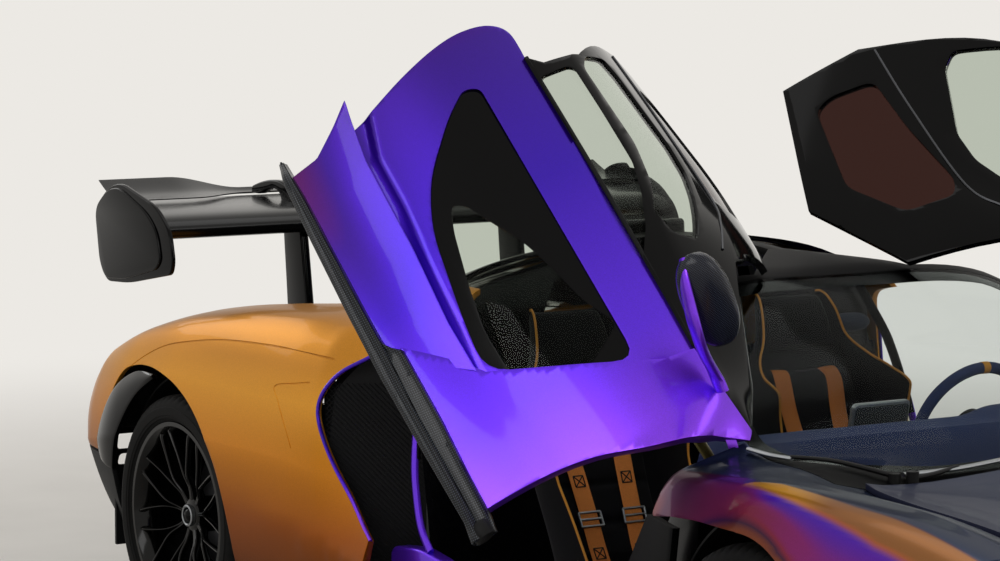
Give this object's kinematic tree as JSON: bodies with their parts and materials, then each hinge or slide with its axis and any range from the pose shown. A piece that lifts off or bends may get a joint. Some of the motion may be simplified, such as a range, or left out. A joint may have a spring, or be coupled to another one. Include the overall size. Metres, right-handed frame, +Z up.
{
  "type": "mid-engined supercar",
  "caption": "Low two-seat mid-engined road supercar with its two dihedral doors swung up, a high rear wing on swan-neck pylons, and wheels and steering that turn.",
  "frame": {"origin": "on the ground under the middle of the car's box", "axes": "+X forward, +Y to the car's left, +Z up"},
  "size_m": [4.744, 2.9656, 1.7746],
  "materials": {
    "violet_paint": "metallic gloss",
    "orange_paint": "metallic gloss",
    "plum_paint": "metallic gloss",
    "dark_paint": "satin",
    "carbon": "clear lacquer over twill",
    "black_plastic": "matte",
    "window_glass": "clear",
    "lamp_glass": "clear",
    "tail_glass": "gloss",
    "tyre_rubber": "matte",
    "wheel_black": "gloss black",
    "seat_cloth": "suede",
    "aluminium": "machined",
    "steel": "satin"
  },
  "bodies": {
    "root": {"quarter_right": "orange_paint", "quarter_left": "orange_paint", "front_wing_right": "plum_paint", "front_wing_left": "plum_paint", "bonnet": "dark_paint", "engine_cover": "dark_paint", "nose": "dark_paint", "roof_scoop": "dark_paint", "screen_frame": "dark_paint", "scuttle": "dark_paint", "side_skirts": "carbon", "front_splitter": "carbon", "diffuser": "carbon", "rear_wing": "carbon", "wing_pylons": "carbon", "tub": "carbon", "rear_bumper": "carbon", "rear_bulkhead": "carbon", "undertray": "black_plastic", "wheel_housings": "black_plastic", "dashboard": "black_plastic", "centre_screen": "black_plastic", "intake_grilles": "black_plastic", "tail_panel": "black_plastic", "windscreen": "window_glass", "headlamps": "lamp_glass", "tail_lamps": "tail_glass", "seat_right": "seat_cloth", "seat_left": "seat_cloth", "rear_hubs": "aluminium", "engine_block": "aluminium", "gearbox": "aluminium", "front_arms": "steel", "exhaust_tips": "steel"},
    "door_right": {"door_shell_right": "violet_paint", "door_glass_right": "window_glass", "door_blade_right": "carbon", "door_mirror_right": "violet_paint", "door_hinge_right": "aluminium"},
    "door_left": {"door_shell_left": "violet_paint", "door_glass_left": "window_glass", "door_blade_left": "carbon", "door_mirror_left": "violet_paint", "door_hinge_left": "aluminium"},
    "steered_right": {"knuckle_right": "aluminium"},
    "steered_left": {"knuckle_left": "aluminium"},
    "steering": {"steering_wheel": "black_plastic"},
    "wheel_front_right": {"tyre_front_right": "tyre_rubber", "rim_front_right": "wheel_black"},
    "wheel_front_left": {"tyre_front_left": "tyre_rubber", "rim_front_left": "wheel_black"},
    "wheel_rear_right": {"tyre_rear_right": "tyre_rubber", "rim_rear_right": "wheel_black"},
    "wheel_rear_left": {"tyre_rear_left": "tyre_rubber", "rim_rear_left": "wheel_black"}
  },
  "joints": [
    {"name": "door_right", "type": "hinge", "parent": "root", "child": "door_right", "pos_m": [0.74, -0.69, 0.73], "axis": [-0.58, 0.6228, 0.5251], "range_deg": [-64, 0]},
    {"name": "door_left", "type": "hinge", "parent": "root", "child": "door_left", "pos_m": [0.74, 0.69, 0.73], "axis": [0.58, 0.6228, -0.5251], "range_deg": [-64, 0]},
    {"name": "steer_right", "type": "hinge", "parent": "root", "child": "steered_right", "pos_m": [1.186, -0.738, 0.327], "axis": [0, 0, 1], "range_deg": [-30, 30]},
    {"name": "steer_left", "type": "hinge", "parent": "root", "child": "steered_left", "pos_m": [1.186, 0.738, 0.327], "axis": [0, 0, 1], "range_deg": [-30, 30]},
    {"name": "steering_wheel", "type": "hinge", "parent": "root", "child": "steering", "pos_m": [0.4, 0.37, 0.735], "axis": [-0.9272, 0, 0.3746], "range_deg": [-360, 360]},
    {"name": "spin_front_right", "type": "hinge", "parent": "steered_right", "child": "wheel_front_right", "pos_m": [1.186, -0.818, 0.327], "axis": [0, 1, 0], "continuous": true},
    {"name": "spin_front_left", "type": "hinge", "parent": "steered_left", "child": "wheel_front_left", "pos_m": [1.186, 0.818, 0.327], "axis": [0, 1, 0], "continuous": true},
    {"name": "spin_rear_right", "type": "hinge", "parent": "root", "child": "wheel_rear_right", "pos_m": [-1.484, -0.811, 0.348], "axis": [0, 1, 0], "continuous": true},
    {"name": "spin_rear_left", "type": "hinge", "parent": "root", "child": "wheel_rear_left", "pos_m": [-1.484, 0.811, 0.348], "axis": [0, 1, 0], "continuous": true}
  ],
  "couplings": [
    {"joint": "steer_left", "follows": "steer_right", "ratio": 1},
    {"joint": "steering_wheel", "follows": "steer_right", "ratio": 12}
  ]
}
